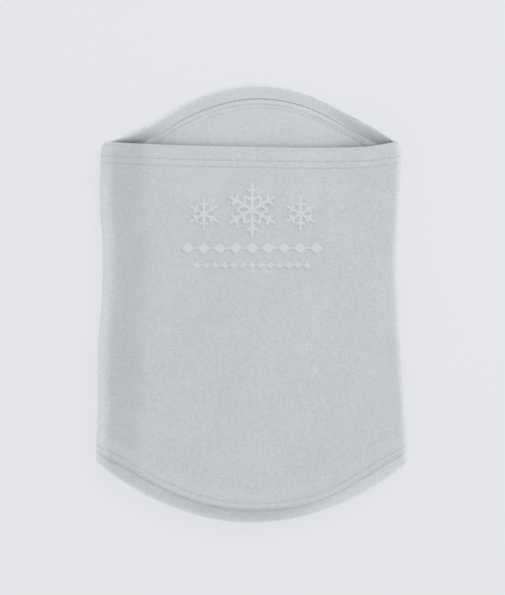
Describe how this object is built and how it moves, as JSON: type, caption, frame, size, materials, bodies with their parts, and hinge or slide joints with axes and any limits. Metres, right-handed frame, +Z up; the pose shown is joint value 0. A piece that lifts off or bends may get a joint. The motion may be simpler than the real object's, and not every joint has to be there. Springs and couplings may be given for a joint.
{
  "type": "neck gaiter",
  "caption": "Fleece tube for the neck and face, lying flat: front and back panels joined by side seams, with coverstitched hems and a raised tonal emblem.",
  "frame": {"origin": "centre of the flat-lying tube's outline, on the surface that the back panel rests on", "axes": "+X across the width to the wearer's left as the front lies up, +Y from the lower hem to the mouth, +Z up through the front panel"},
  "size_m": [0.2718, 0.382, 0.015],
  "materials": {
    "fleece": "matte brushed microfleece",
    "thread": "spun polyester thread",
    "label": "satin ribbon",
    "emblem": "short tonal pile"
  },
  "bodies": {
    "root": {"front_panel": "fleece", "back_panel": "fleece", "left_seam_overlock": "thread", "right_seam_overlock": "thread", "mouth_hem_outer_needle_thread": "thread", "mouth_hem_inner_needle_thread": "thread", "mouth_hem_looper_thread": "thread", "lower_hem_outer_needle_thread": "thread", "lower_hem_inner_needle_thread": "thread", "lower_hem_looper_thread": "thread", "care_label": "label", "emblem_crystal_middle": "emblem", "emblem_crystal_left": "emblem", "emblem_crystal_right": "emblem", "emblem_band_upper": "emblem", "emblem_band_lower": "emblem"}
  },
  "joints": []
}
